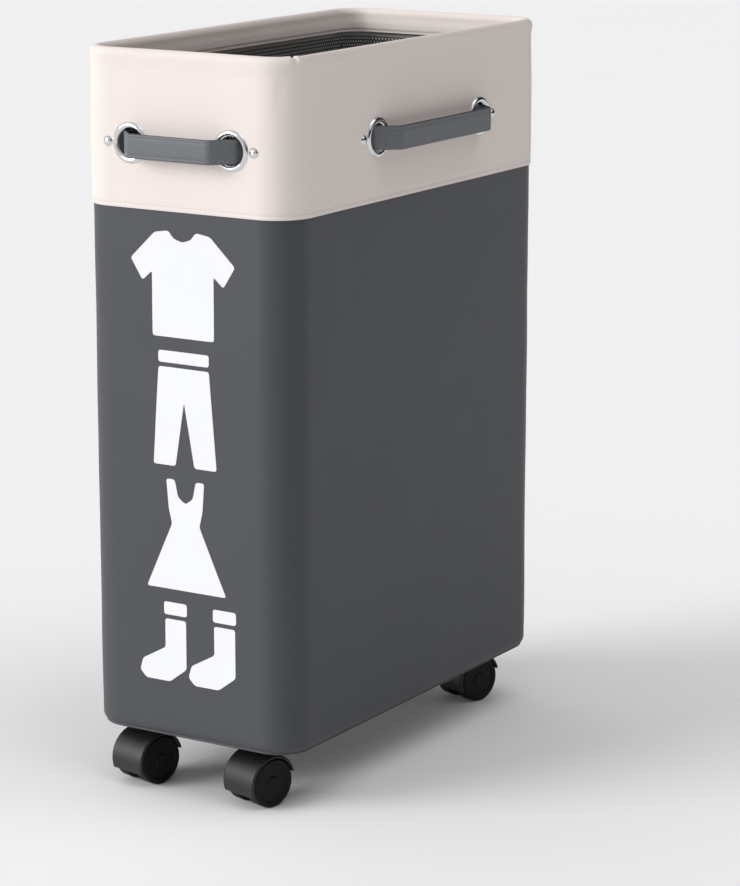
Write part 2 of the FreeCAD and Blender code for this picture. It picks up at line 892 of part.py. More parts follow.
make_walls()
make_bottom_fabric()
make_cuff()
make_rim_wire()
make_mesh()
make_board()
make_insert()
make_eyelets()
make_rivets()
for name, wall_x, wall_y, turn, reach, rivet in HANDLES:
    make_strap(name, wall_x, wall_y, turn, reach)
    make_tabs(name, wall_x, wall_y, turn, reach, rivet)
make_stems()
for name, x, y, turn in CASTERS:
    make_hood(name, x, y, turn)
    make_axle(name, x, y, turn)
    make_wheel(name, x, y, turn, "left", "-")
    make_wheel(name, x, y, turn, "right", "")
doc.recompute()

problems = [
    f"{thing.Label} is {state}"
    for thing in doc.Objects
    for state in thing.State
    if state in ("Invalid", "Error")
]
for thing in nodes:
    if thing.Shape.isNull() or not thing.Shape.isValid() or not thing.Shape.Solids:
        problems.append(f"{thing.Label} has no valid shape")
if problems:
    raise RuntimeError("; ".join(problems))

os.makedirs("parts", exist_ok=True)
for thing in nodes:
    thing.Shape.exportStep(f"parts/{thing.Label}.step")
    count = len(thing.Shape.Solids)
    print(f"{thing.Label}: {count} solid(s), {thing.Shape.Volume / 1000:.2f} cm3")
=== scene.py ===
import math

import bmesh
import bpy
from mathutils import Matrix, Vector, noise


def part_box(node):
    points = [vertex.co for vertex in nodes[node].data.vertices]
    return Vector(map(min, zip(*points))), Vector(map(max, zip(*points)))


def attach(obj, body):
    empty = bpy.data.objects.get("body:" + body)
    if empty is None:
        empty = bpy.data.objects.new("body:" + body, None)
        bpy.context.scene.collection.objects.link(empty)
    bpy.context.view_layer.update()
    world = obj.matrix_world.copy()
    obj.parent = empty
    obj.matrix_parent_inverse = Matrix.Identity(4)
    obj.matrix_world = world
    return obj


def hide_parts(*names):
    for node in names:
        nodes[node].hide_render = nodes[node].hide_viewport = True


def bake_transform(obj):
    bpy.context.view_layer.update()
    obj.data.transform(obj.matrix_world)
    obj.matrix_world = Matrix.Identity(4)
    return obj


# A slim fabric laundry hamper on casters. The cloth, the mesh collar, the straps and the print are
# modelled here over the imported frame; the metal and moulded parts keep their CAD shape and get
# materials. Metres, in the row frame: +Z up, with the printed narrow wall facing -Y. A depth is how
# far a layer lies in from the outer face of the cuff.

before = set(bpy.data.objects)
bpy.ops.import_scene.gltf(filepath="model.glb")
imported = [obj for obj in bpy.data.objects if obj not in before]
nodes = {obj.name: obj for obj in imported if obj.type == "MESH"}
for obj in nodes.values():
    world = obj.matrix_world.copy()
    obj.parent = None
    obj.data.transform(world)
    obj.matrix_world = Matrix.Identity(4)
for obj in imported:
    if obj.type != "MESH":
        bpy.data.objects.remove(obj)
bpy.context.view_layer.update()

MM = 0.001

# ---- sizes, read from the frame where it holds them ---------------------------------------------------

CUFF_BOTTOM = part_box("cuff_fabric")[0].z
HALF_X, HALF_Y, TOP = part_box("cuff_fabric")[1]
BAG_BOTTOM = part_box("bottom_fabric")[0].z
CLOTH_DEPTH = HALF_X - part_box("wall_fabric")[1].x
LINING_DEPTH = HALF_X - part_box("inner_lining")[1].x
LINING_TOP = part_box("inner_lining")[1].z
MESH_DEPTH = HALF_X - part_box("mesh_cover")[1].x
MESH_BOTTOM, MESH_TOP = (corner.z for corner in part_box("mesh_cover"))
BAND_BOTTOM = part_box("mesh_binding")[1].z
HEM_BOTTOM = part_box("mesh_hem")[0].z
INSERT_LOW, INSERT_HIGH = (corner.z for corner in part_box("floor_insert"))
INSERT_DEPTH = HALF_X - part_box("floor_insert")[1].x

CORNER = 31 * MM  # the plan's corner radius at the cuff's face
RIM_ROLL = 5.5 * MM  # radius of the rolled rim
CUFF_THICK = 1.7 * MM
CLOTH_THICK = 1.0 * MM
EDGE_ROUND = 8 * MM  # the bag's rounding at its bottom edge
STRAP_WIDE = 19 * MM
STRAP_THICK = 2.4 * MM
STRAP_ROOT = 4.5 * MM  # how far outboard of an eyelet's middle a strap passes through it
STRAP_LEAN = 14.5 * MM  # how far a strap leans in from there to its outer run
STITCH_LINE = 0.74  # how far out over a strap's half width its stitches run
STITCH_PITCH = 3.6 * MM
EYELET_TO_RIVET = 21 * MM
RIVET_TO_END = 8 * MM
EYELET_CUT = 12.2 * MM  # radius of the holes cut in the cloth under the eyelets
CUTTER_DEPTH = 24 * MM  # long enough to pass through the cuff and the lining
CUFF_PLAY = 0.2 * MM  # left free between the cuff and the cloth under it
FLAT_INSET = 28 * MM  # where the flat middle of the bottom and of the loose board begins


# ---- the bag's plan -----------------------------------------------------------------------------------


def walk_plan(step=6 * MM, corner_steps=16):
    """(point, outward normal, distance) once round the cuff's face, from the middle of the back."""
    flat_x, flat_y = HALF_X - CORNER, HALF_Y - CORNER
    sides = [
        ((0, HALF_Y), (-flat_x, HALF_Y), 90),
        ((-HALF_X, flat_y), (-HALF_X, -flat_y), 180),
        ((-flat_x, -HALF_Y), (flat_x, -HALF_Y), 270),
        ((HALF_X, -flat_y), (HALF_X, flat_y), 360),
        ((flat_x, HALF_Y), (0, HALF_Y), 450),
    ]
    samples = []
    walked = 0.0
    for number, (start, end, facing) in enumerate(sides):
        start, end = Vector((*start, 0)), Vector((*end, 0))
        angle = math.radians(facing)
        normal = Vector((math.cos(angle), math.sin(angle), 0))
        length = (end - start).length
        count = math.ceil(length / step)
        for i in range(count):
            samples.append((start.lerp(end, i / count), normal, walked + length * i / count))
        walked += length
        if number == len(sides) - 1:
            break
        centre = end - normal * CORNER
        for i in range(corner_steps):
            turn = math.pi / 2 * i / corner_steps
            normal = Vector((math.cos(angle + turn), math.sin(angle + turn), 0))
            samples.append((centre + normal * CORNER, normal, walked + CORNER * turn))
        walked += CORNER * math.pi / 2
    return samples, walked


PLAN, AROUND = walk_plan()


def distance_facing(degrees):
    """The distance walked to where the plan's corner faces that way, counted from +X."""
    angle = math.radians(degrees)
    facing = Vector((math.cos(angle), math.sin(angle), 0))
    return max(PLAN, key=lambda sample: sample[1].dot(facing))[2]


def bell(value, middle, width):
    return math.exp(-(((value - middle) / width) ** 2))


def ease(value, low, high):
    """0 below low, 1 above high and smooth between; low may be the larger."""
    t = min(max((value - low) / (high - low), 0), 1)
    return t * t * (3 - 2 * t)


def ripple(point, height, size, seed=0.0):
    """Smooth noise from -1 to 1 over the bag's surface, with features of that size."""
    place = Vector((point.x, point.y, height)) / size
    return noise.noise(place + Vector((seed, seed * 0.37, -seed)))


# ---- meshes -------------------------------------------------------------------------------------------


def new_object(name, vertices, faces, uvs=None, sharp=40):
    """A mesh object, shaded smooth except at edges sharper than that angle, with a UV per vertex."""
    mesh = bpy.data.meshes.new(name)
    mesh.from_pydata(vertices, [], faces)
    if uvs is not None:
        layer = mesh.uv_layers.new(name="Cloth")
        for polygon in mesh.polygons:
            around = [uvs[mesh.loops[i].vertex_index][0] for i in polygon.loop_indices]
            wraps = max(around) - min(around) > AROUND / 2
            for i, u in zip(polygon.loop_indices, around):
                v = uvs[mesh.loops[i].vertex_index][1]
                layer.data[i].uv = (u + AROUND if wraps and u < AROUND / 2 else u, v)
    obj = bpy.data.objects.new(name, mesh)
    bpy.context.scene.collection.objects.link(obj)
    tidy_normals(obj, sharp)
    return obj


def tidy_normals(obj, sharp=40):
    """Faces outward, smooth shading, and sharp edges past an angle."""
    mesh = obj.data
    work = bmesh.new()
    work.from_mesh(mesh)
    bmesh.ops.recalc_face_normals(work, faces=work.faces)
    work.to_mesh(mesh)
    work.free()
    mesh.shade_smooth()
    mesh.set_sharp_from_angle(angle=math.radians(sharp))


def inner_side(path, thickness):
    """The path's other side: each (depth, height) moved into the bag, square to the path."""
    moved = []
    for i, (depth, height) in enumerate(path):
        before, after = path[max(i - 1, 0)], path[min(i + 1, len(path) - 1)]
        run, rise = after[0] - before[0], after[1] - before[1]
        length = math.hypot(run, rise)
        moved.append((depth + thickness * rise / length, height - thickness * run / length))
    return moved


def cloth_tube(name, path, thickness, shape):
    """Cloth of a thickness whose outer side follows a (depth, height) path, all round the plan.
    shape(point, height, walked) gives how far it stands out and up from there."""
    along = [0.0]
    for a, b in zip(path, path[1:]):
        along.append(along[-1] + math.dist(a, b))
    both = list(zip(path, along)) + list(zip(inner_side(path, thickness), along))[::-1]
    outer = {v: path[i][1] for i, v in enumerate(along)}
    vertices, uvs = [], []
    for (depth, height), v in both:
        for point, normal, walked in PLAN:
            out, up = shape(point, outer[v], walked)
            vertices.append(point - normal * (depth - out) + Vector((0, 0, height + up)))
            uvs.append((walked, v))
    return new_object(name, vertices, ring_faces(len(both), len(PLAN), True), uvs)


def ring_faces(rows, columns, closed):
    """Quads between rows of points that each run once round, and from last to first if closed."""
    faces = []
    for row in range(rows if closed else rows - 1):
        low, high = row * columns, (row + 1) % rows * columns
        for i in range(columns):
            j = (i + 1) % columns
            faces.append((low + i, low + j, high + j, high + i))
    return faces


def slab(name, rings):
    """A closed flat body: (depth, height) rings round the plan, with both ends filled."""
    vertices, uvs = [], []
    for depth, height in rings:
        for point, normal, _ in PLAN:
            vertices.append(point - normal * depth + Vector((0, 0, height)))
            uvs.append((vertices[-1].x, vertices[-1].y))
    count = len(PLAN)
    faces = ring_faces(len(rings), count, False)
    faces.append(tuple(range(count)))
    faces.append(tuple(range(len(vertices) - count, len(vertices))))
    return new_object(name, vertices, faces, uvs)


def arc(centre, radius, start, end, steps):
    """(x, y) points of an arc between two angles in degrees, both ends included."""
    points = []
    for i in range(steps + 1):
        angle = math.radians(start + (end - start) * i / steps)
        points.append((centre[0] + radius * math.cos(angle), centre[1] + radius * math.sin(angle)))
    return points


def spread(low, high, step):
    """Even values from low towards high, which is left out."""
    count = math.ceil(abs(high - low) / step)
    return [low + (high - low) * i / count for i in range(count)]


def add_stitch(vertices, faces, place, forward, outward, length, thick, sides=6):
    """One stitch: a plump thread that dives into the cloth at both ends."""
    across = forward.cross(outward)
    first = len(vertices)
    profile = [(-0.5, 0.25, -0.5), (-0.36, 0.8, -0.1), (0, 1, 0.25), (0.36, 0.8, -0.1), (0.5, 0.25, -0.5)]
    for forth, size, lift in profile:
        middle = place + forward * (forth * length) + outward * (lift * thick)
        for k in range(sides):
            angle = 2 * math.pi * k / sides
            ring = across * math.cos(angle) + outward * math.sin(angle)
            vertices.append(middle + ring * (size * thick / 2))
    for row in range(len(profile) - 1):
        for k in range(sides):
            a, b = first + row * sides + k, first + row * sides + (k + 1) % sides
            faces.append((a, b, b + sides, a + sides))
    faces.append(tuple(first + k for k in range(sides)))
    faces.append(tuple(first + (len(profile) - 1) * sides + k for k in range(sides)))


def at_distance(walked):
    """(point, normal) of the plan at a distance walked."""
    walked %= AROUND
    for (a, normal, start), (b, after, end) in zip(PLAN, PLAN[1:] + [(*PLAN[0][:2], AROUND)]):
        if start <= walked < end:
            t = (walked - start) / (end - start)
            return a.lerp(b, t), normal.lerp(after, t).normalized()
    return PLAN[0][0], PLAN[0][1]


def seam(name, depth, height, shape, pitch=4.2 * MM, stitch=3.0 * MM, thick=0.55 * MM, inside=False):
    """A row of stitches all round the bag at a depth and height."""
    vertices, faces = [], []
    count = round(AROUND / pitch)
    for i in range(count):
        walked = AROUND * i / count
        point, normal = at_distance(walked)
        out, up = shape(point, height, walked)
        place = point - normal * (depth - out) + Vector((0, 0, height + up))
        forward = Vector((-normal.y, normal.x, 0))
        add_stitch(vertices, faces, place, forward, -normal if inside else normal, stitch, thick)
    return new_object(name, vertices, faces, sharp=60)


# ---- materials ----------------------------------------------------------------------------------------


def tone(red, green, blue):
    """A display colour, 0 to 255, as the linear colour that a shader takes."""
    linear = []
    for level in (red, green, blue):
        share = level / 255
        linear.append(share / 12.92 if level < 11 else ((share + 0.055) / 1.055) ** 2.4)
    return (*linear, 1)


def scaled(colour, factor):
    return (*(min(c * factor, 1) for c in colour[:3]), 1)


class Shader:
    """A Principled material, built node by node."""

    def __init__(self, name, **values):
        self.material = bpy.data.materials.new(name)
        self.material.use_nodes = True
        self.tree = self.material.node_tree
        self.main = next(n for n in self.tree.nodes if n.type == "BSDF_PRINCIPLED")
        for socket, value in values.items():
            self.main.inputs[socket.replace("_", " ")].default_value = value

    def node(self, kind, inputs=(), **settings):
        """A new node; inputs are (socket, value or another node's output)."""
        made = self.tree.nodes.new(f"ShaderNode{kind}")
        for name, setting in settings.items():
            setattr(made, name, setting)
        for socket, value in inputs:
            if isinstance(value, bpy.types.NodeSocket):
                self.tree.links.new(value, made.inputs[socket])
            else:
                made.inputs[socket].default_value = value
        return made

    def math(self, operation, *values):
        return self.node("Math", list(enumerate(values)), operation=operation).outputs[0]

    def place(self):
        return self.node("TexCoord").outputs["Object"]

    def cloth_place(self):
        return self.node("UVMap", uv_map="Cloth").outputs["UV"]

    def noise(self, size, detail=2.0, roughness=0.5, where=None):
        """Noise from 0 to 1 whose features are about that many metres across."""
        inputs = [("Vector", where or self.place()), ("Scale", 1 / size), ("Detail", detail)]
        return self.node("TexNoise", inputs + [("Roughness", roughness)]).outputs["Fac"]

    def blend(self, factor, low, high):
        made = self.node("Mix", [(0, factor), (6, low), (7, high)], data_type="RGBA")
        return made.outputs[2]

    def range(self, value, low, high, start=0.0, end=1.0):
        inputs = [("Value", value), ("From Min", start), ("From Max", end), ("To Min", low), ("To Max", high)]
        return self.node("MapRange", inputs).outputs[0]

    def bump(self, height, distance, strength=1.0, under=None):
        inputs = [("Height", height), ("Distance", distance), ("Strength", strength)]
        if under is not None:
            inputs.append(("Normal", under))
        return self.node("Bump", inputs).outputs[0]

    def use(self, socket, value):
        self.tree.links.new(value, self.main.inputs[socket])


def woven(name, colour, thread=0.7 * MM, weave=0.05 * MM, rough=0.85, mottle=0.06, where="cloth", **values):
    """Plain-woven cloth with a thread pitch, soft blotches of tone and a little slubbing."""
    s = Shader(name, Roughness=rough, **values)
    place = s.cloth_place() if where == "cloth" else s.place()
    parts = s.node("SeparateXYZ", [("Vector", place)])
    warp = s.math("SINE", s.math("MULTIPLY", parts.outputs[0], 2 * math.pi / thread))
    weft = s.math("SINE", s.math("MULTIPLY", parts.outputs[1], 2 * math.pi / thread))
    over = s.math("MULTIPLY", warp, weft)
    blotch = s.noise(70 * MM, 3.0)
    slub = s.noise(2.2 * MM, 2.0, where=place)
    fine = s.math("ADD", s.math("MULTIPLY", over, 0.12), slub)
    colours = s.blend(blotch, scaled(colour, 1 - mottle), scaled(colour, 1 + mottle))
    s.use("Base Color", s.blend(s.range(fine, 0.0, 0.35, 0.3, 0.75), colours, scaled(colour, 0.9)))
    s.use("Roughness", s.range(slub, rough - 0.06, rough + 0.08))
    soft = s.bump(blotch, 0.4 * MM, 0.5)
    s.use("Normal", s.bump(s.math("ADD", over, s.math("MULTIPLY", slub, 1.6)), weave, 0.8, soft))
    return s.material


def mesh_knit(name, colour, pitch=3.4 * MM):
    """Open hexagonal knit: round holes in staggered rows, cut by transparency."""
    s = Shader(name, Base_Color=colour, Roughness=0.6)
    place = s.cloth_place()
    cell = (pitch, pitch * math.sqrt(3), 1)
    half = tuple(c / 2 for c in cell)
    nearest = []
    for shift in ((0, 0, 0), half):
        moved = s.node("VectorMath", [(0, place), (1, shift)], operation="ADD").outputs[0]
        inside = s.node("VectorMath", [(0, moved), (1, cell), (2, (0, 0, 0))], operation="WRAP").outputs[0]
        centred = s.node("VectorMath", [(0, inside), (1, half)], operation="SUBTRACT").outputs[0]
        flat = s.node("VectorMath", [(0, centred), (1, (1, 1, 0))], operation="MULTIPLY").outputs[0]
        nearest.append(s.node("VectorMath", [(0, flat)], operation="LENGTH").outputs["Value"])
    away = s.math("MINIMUM", *nearest)
    s.use("Alpha", s.range(away, 0.0, 1.0, pitch * 0.36, pitch * 0.41))
    strand = s.range(away, 1.0, 0.0, pitch * 0.4, pitch * 0.58)
    s.use("Base Color", s.blend(s.noise(1.5 * MM), scaled(colour, 0.7), scaled(colour, 2.2)))
    s.use("Normal", s.bump(strand, 0.5 * MM, 0.7))
    return s.material


def leather(name, colour):
    """Fine-grained coated leather, a little worn and lighter in patches."""
    s = Shader(name, Roughness=0.5)
    cells = s.node(
        "TexVoronoi", [("Vector", s.place()), ("Scale", 1 / (1.1 * MM))], feature="DISTANCE_TO_EDGE"
    ).outputs["Distance"]
    creases = s.range(cells, 0.0, 1.0, 0.0, 0.25)
    wear = s.noise(14 * MM, 3.0)
    colours = s.blend(wear, scaled(colour, 0.82), scaled(colour, 1.22))
    s.use("Base Color", s.blend(creases, scaled(colour, 0.7), colours))
    s.use("Roughness", s.range(wear, 0.4, 0.6))
    soft = s.bump(wear, 0.5 * MM, 0.35)
    s.use("Normal", s.bump(creases, 0.06 * MM, 0.8, soft))
    return s.material


def moulded(name, colour, rough, grain=0.8 * MM, **values):
    """Moulded plastic: fine spark grain, and gloss that drifts a little."""
    s = Shader(name, Base_Color=colour, **values)
    drift = s.noise(9 * MM, 3.0)
    fine = s.noise(grain, 2.0)
    s.use("Base Color", s.blend(drift, scaled(colour, 0.85), scaled(colour, 1.2)))
    s.use("Roughness", s.range(drift, rough - 0.06, rough + 0.08))
    s.use("Normal", s.bump(fine, 0.03 * MM, 0.5))
    return s.material


def metal(name, colour, rough, brushed=0.0):
    """Plated or bare metal with faint smudges."""
    s = Shader(name, Base_Color=colour, Metallic=1.0)
    smudge = s.noise(6 * MM, 4.0, 0.6)
    s.use("Base Color", s.blend(smudge, scaled(colour, 0.9), colour))
    s.use("Roughness", s.range(smudge, rough, rough + 0.1 + brushed))
    s.use("Normal", s.bump(s.noise(1.2 * MM, 2.0), 0.01 * MM, 0.4))
    return s.material


def printed(name, colour):
    """Matt ink on cloth, with the weave faint under it."""
    s = Shader(name, Roughness=0.75)
    fine = s.noise(0.9 * MM, 2.0)
    s.use("Base Color", s.blend(s.noise(30 * MM), scaled(colour, 0.97), colour))
    s.use("Roughness", s.range(fine, 0.65, 0.85))
    s.use("Normal", s.bump(fine, 0.03 * MM, 0.5))
    return s.material


GREY = tone(63, 65, 70)
CREAM = tone(227, 217, 212)
LINING = tone(205, 203, 200)
BLACK_YARN = tone(22, 22, 24)
STRAP_GREY = tone(104, 107, 111)

grey_cloth = woven("grey_cloth", GREY, weave=0.02 * MM, rough=0.46, Specular_IOR_Level=0.42)
cream_cloth = woven("cream_cloth", CREAM, rough=0.72, mottle=0.02, weave=0.03 * MM)
lining_cloth = woven("lining_cloth", LINING, rough=0.6, mottle=0.03, weave=0.03 * MM)
black_tape = woven("black_tape", BLACK_YARN, rough=0.8, weave=0.1 * MM)
grey_thread = woven("grey_thread", scaled(GREY, 1.15), rough=0.7, where="object")
cream_thread = woven("cream_thread", scaled(CREAM, 0.82), rough=0.7, mottle=0.02, where="object")
strap_thread = woven("strap_thread", scaled(STRAP_GREY, 1.5), rough=0.65, where="object")
black_mesh = mesh_knit("black_mesh", BLACK_YARN)
strap_leather = leather("strap_leather", STRAP_GREY)
strap_edge = moulded("strap_edge", tone(30, 31, 33), 0.5)
chrome = metal("chrome", (0.7, 0.7, 0.71, 1), 0.1)
plain_steel = metal("plain_steel", (0.5, 0.5, 0.51, 1), 0.28, 0.1)
hood_plastic = moulded("hood_plastic", tone(20, 18, 18), 0.42)
wheel_plastic = moulded("wheel_plastic", tone(8, 8, 8), 0.5, Specular_IOR_Level=0.2)
board_plastic = moulded("board_plastic", tone(60, 60, 62), 0.6)
stiff_sheet = moulded("stiff_sheet", tone(215, 215, 210), 0.55)
print_ink = printed("print_ink", tone(228, 229, 232))


def dress(obj, *materials):
    obj.data.materials.clear()
    for material in materials:
        obj.data.materials.append(material)


def stand_for(obj, slot, *replaced, body="bag"):
    """A piece that rides on a body and stands for CAD nodes; the slot is not used."""
    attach(obj, body)
    if replaced:
        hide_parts(*replaced)


# ---- how the cloth is shaped --------------------------------------------------------------------------

PUCKER = distance_facing(-27)  # where the rim's cloth is pinched, on the front right corner
VALLEY = distance_facing(-14)
FLUTE = distance_facing(-52)
PLEAT = distance_facing(174)  # a fold of the mesh, at the back left corner


def wall_shape(point, height, walked):
    """The grey walls: flat over their plastic sheet, with slow swells between the edges."""
    held = ease(height, BAG_BOTTOM, BAG_BOTTOM + 60 * MM)
    held *= ease(height, CUFF_BOTTOM + 10 * MM, CUFF_BOTTOM - 50 * MM)
    swell = 0.45 * MM * ripple(point, height, 110 * MM, 3.1) + 0.25 * MM * ripple(point, height, 45 * MM, 7.7)
    edge = 0.2 * MM * ripple(point, height, 30 * MM, 1.3) * (1 - held)
    return swell * held + edge * ease(height, BAG_BOTTOM - MM, BAG_BOTTOM + 10 * MM) - 0.05 * MM, 0


def cuff_shape(point, height, walked):
    """The cuff: pulled in under the roll, a pinched corner, and a rim that isn't quite level."""
    below = TOP - height
    under_roll = -0.9 * MM * ease(below, 7 * MM, 13 * MM) * ease(below, 58 * MM, 16 * MM)
    swell = 0.3 * MM * ripple(point, height, 60 * MM, 5.5) * ease(below, 10 * MM, 40 * MM)
    roll = 0.35 * MM * ripple(point, 0, 34 * MM, 9.2) * ease(below, 16 * MM, 3 * MM)
    on_rim = ease(below, 9 * MM, 1 * MM)
    notch = -2.6 * MM * bell(walked, PUCKER, 1.1 * MM) * on_rim
    lips = sum(bell(walked, PUCKER + side * 4.5 * MM, 2.6 * MM) for side in (-1, 1)) * on_rim
    valley = -1.0 * MM * bell(walked, VALLEY, 6 * MM) * ease(below, 8 * MM, 20 * MM)
    valley *= ease(below, 105 * MM, 45 * MM)
    flute = -0.5 * MM * bell(walked, FLUTE, 4 * MM) * ease(below, 10 * MM, 18 * MM)
    flute *= ease(below, 60 * MM, 30 * MM)
    out = under_roll + swell + roll + valley + flute + notch * 0.3 + lips * 0.25 * MM
    level = 0.5 * MM * ripple(point, 0, 150 * MM, 2.4) * ease(below, 60 * MM, 0)
    up = min(level, 0.3 * MM) + notch + lips * 0.3 * MM - 0.3 * MM * ease(below, 60 * MM, 0)
    return out, up


def still(point, height, walked):
    return 0, 0


def lining_shape(point, height, walked):
    """The lining: loose upright creases that fade out where it is held at top and bottom."""
    held = ease(height, BAG_BOTTOM, BAG_BOTTOM + 90 * MM) * ease(height, LINING_TOP, LINING_TOP - 70 * MM)
    return -1.6 * MM * held * (0.5 + 0.5 * ripple(point, height * 0.25, 38 * MM, 4.0)), 0


def collar_shape(point, height, walked):
    """The mesh collar: it hangs from its binding in slack upright folds that open downwards."""
    slack = ease(height, MESH_TOP, HEM_BOTTOM)
    folds = 0.5 + 0.5 * ripple(point, height * 0.3, 30 * MM, 8.3)
    pleat = 3.2 * MM * bell(walked, PLEAT, 2.2 * MM) * ease(height, MESH_TOP + 2 * MM, MESH_TOP - 14 * MM)
    wave = 0.8 * MM * (0.5 + 0.5 * ripple(point, height, 17 * MM, 6.1))
    wave *= ease(height, MESH_TOP, MESH_TOP - 20 * MM)
    return -(7 * MM * slack * folds + pleat + wave), 0.8 * MM * slack * ripple(point, 0, 50 * MM, 2.2)


# ---- the bag ------------------------------------------------------------------------------------------


def make_walls():
    """The grey cloth of the walls, rounded in at the bottom edge, and up behind the cuff."""
    centre = (CLOTH_DEPTH + EDGE_ROUND, BAG_BOTTOM + EDGE_ROUND)
    low_edge = arc(centre, EDGE_ROUND, 242, 180, 8)
    heights = spread(BAG_BOTTOM + EDGE_ROUND, CUFF_BOTTOM + 24 * MM, 9 * MM)[1:]
    path = low_edge + [(CLOTH_DEPTH, height) for height in heights]
    walls = cloth_tube("grey_walls", path, CLOTH_THICK, wall_shape)
    dress(walls, grey_cloth)
    stand_for(walls, "grey_cloth", "wall_fabric")


def make_bottom():
    """The bottom cloth under the board, and the cord sewn round its edge."""
    top = BAG_BOTTOM + CLOTH_THICK
    rings = [
        (FLAT_INSET, top),
        (9.5 * MM, top),
        (6.6 * MM, top + 0.5 * MM),
        (5.6 * MM, top + 1.3 * MM),
        (5.2 * MM, top + 0.9 * MM),
        (6.2 * MM, BAG_BOTTOM + 0.4 * MM),
        (9.0 * MM, BAG_BOTTOM + 0.05 * MM),
        (FLAT_INSET, BAG_BOTTOM + 0.05 * MM),
    ]
    bottom = slab("bottom_cloth", rings)
    dress(bottom, grey_cloth)
    stand_for(bottom, "grey_cloth", "bottom_fabric")
    cord = [(d, h) for d, h in arc((5.3 * MM, BAG_BOTTOM + 1.2 * MM), 1.15 * MM, 360, 0, 12)][:-1]
    vertices, uvs = [], []
    for number, (depth, height) in enumerate(cord):
        for point, normal, walked in PLAN:
            vertices.append(point - normal * depth + Vector((0, 0, height)))
            uvs.append((walked, number * 0.6 * MM))
    piping = new_object("bottom_piping", vertices, ring_faces(len(cord), len(PLAN), True), uvs)
    dress(piping, grey_cloth)
    stand_for(piping, "grey_cloth")


def eyelet_cutter():
    """Cylinders through the cloth where the eyelets are, for one boolean."""
    cutter = bmesh.new()
    for strap in STRAPS.values():
        for sign in (-1, 1):
            middle = strap["wall"] + strap["along"] * (sign * strap["eyelet"])
            turn = strap["outward"].to_track_quat("Z", "Y").to_matrix().to_4x4()
            bmesh.ops.create_cone(
                cutter,
                cap_ends=True,
                segments=48,
                radius1=EYELET_CUT,
                radius2=EYELET_CUT,
                depth=CUTTER_DEPTH,
                matrix=Matrix.Translation(middle) @ turn,
            )
    mesh = bpy.data.meshes.new("cutter")
    cutter.to_mesh(mesh)
    cutter.free()
    obj = bpy.data.objects.new("cutter", mesh)
    bpy.context.scene.collection.objects.link(obj)
    return obj


def cut_eyelets(obj):
    """Cuts the eyelets' holes through a cloth piece."""
    cutter = eyelet_cutter()
    modifier = obj.modifiers.new("holes", "BOOLEAN")
    modifier.operation = "DIFFERENCE"
    modifier.solver = "EXACT"
    modifier.object = cutter
    shown = bpy.context.evaluated_depsgraph_get()
    cut = bpy.data.meshes.new_from_object(obj.evaluated_get(shown))
    obj.modifiers.clear()
    old = obj.data
    obj.data = cut
    bpy.data.meshes.remove(old)
    bpy.data.objects.remove(cutter)
    obj.data.shade_smooth()
    obj.data.set_sharp_from_angle(angle=math.radians(40))


def make_cuff():
    """The cream cuff: a folded lower hem, the outer face, the rolled rim and the band inside."""
    roll = (RIM_ROLL, TOP - RIM_ROLL)
    hem = [
        (1.1 * MM, CUFF_BOTTOM + 0.15 * MM),
        (0.5 * MM, CUFF_BOTTOM),
        (0.12 * MM, CUFF_BOTTOM + 0.35 * MM),
        (0.0, CUFF_BOTTOM + 1.1 * MM),
        (0.0, CUFF_BOTTOM + 2.4 * MM),
        (0.3 * MM, CUFF_BOTTOM + 3.2 * MM),
        (0.42 * MM, CUFF_BOTTOM + 3.7 * MM),
        (0.3 * MM, CUFF_BOTTOM + 4.2 * MM),
        (0.08 * MM, CUFF_BOTTOM + 5.4 * MM),
    ]
    face = [(0.0, height) for height in spread(CUFF_BOTTOM + 9 * MM, TOP - RIM_ROLL, 3.2 * MM)]
    over = arc(roll, RIM_ROLL, 180, 0, 18)
    band = [(2 * RIM_ROLL, height) for height in spread(TOP - RIM_ROLL, BAND_BOTTOM, 2.4 * MM)[1:]]
    band += [(2 * RIM_ROLL, BAND_BOTTOM + 0.6 * MM), (2 * RIM_ROLL - 0.4 * MM, BAND_BOTTOM)]
    cuff = cloth_tube("cream_cuff", hem + face + over + band, CUFF_THICK - CUFF_PLAY, cuff_shape)
    cut_eyelets(cuff)
    dress(cuff, cream_cloth)
    stand_for(cuff, "cream_cloth", "cuff_fabric")
    rows = seam("cuff_stitches", 0.42 * MM, CUFF_BOTTOM + 3.7 * MM, cuff_shape)
    dress(rows, cream_thread)
    stand_for(rows, "cream_cloth")
    rows = seam("band_stitches", 2 * RIM_ROLL, BAND_BOTTOM + 3.5 * MM, still, inside=True)
    dress(rows, cream_thread)
    stand_for(rows, "cream_cloth")


def make_lining():
    heights = spread(BAG_BOTTOM + 4 * MM, LINING_TOP, 14 * MM) + [LINING_TOP]
    path = [(LINING_DEPTH, height) for height in heights]
    lining = cloth_tube("lining", path, 0.6 * MM, lining_shape)
    cut_eyelets(lining)
    dress(lining, lining_cloth)
    stand_for(lining, "lining_cloth", "inner_lining")


def make_insert():
    """The covered board that lies in the bottom, with a padded edge."""
    thick = INSERT_HIGH - INSERT_LOW
    edge = arc((INSERT_DEPTH + thick / 2, INSERT_LOW + thick / 2), thick / 2, 270, 90, 8)
    rings = [(FLAT_INSET, INSERT_LOW)] + edge + [(12 * MM, INSERT_HIGH), (FLAT_INSET, INSERT_HIGH)]
    insert = slab("floor_board", rings)
    dress(insert, lining_cloth)
    stand_for(insert, "lining_cloth", "floor_insert")


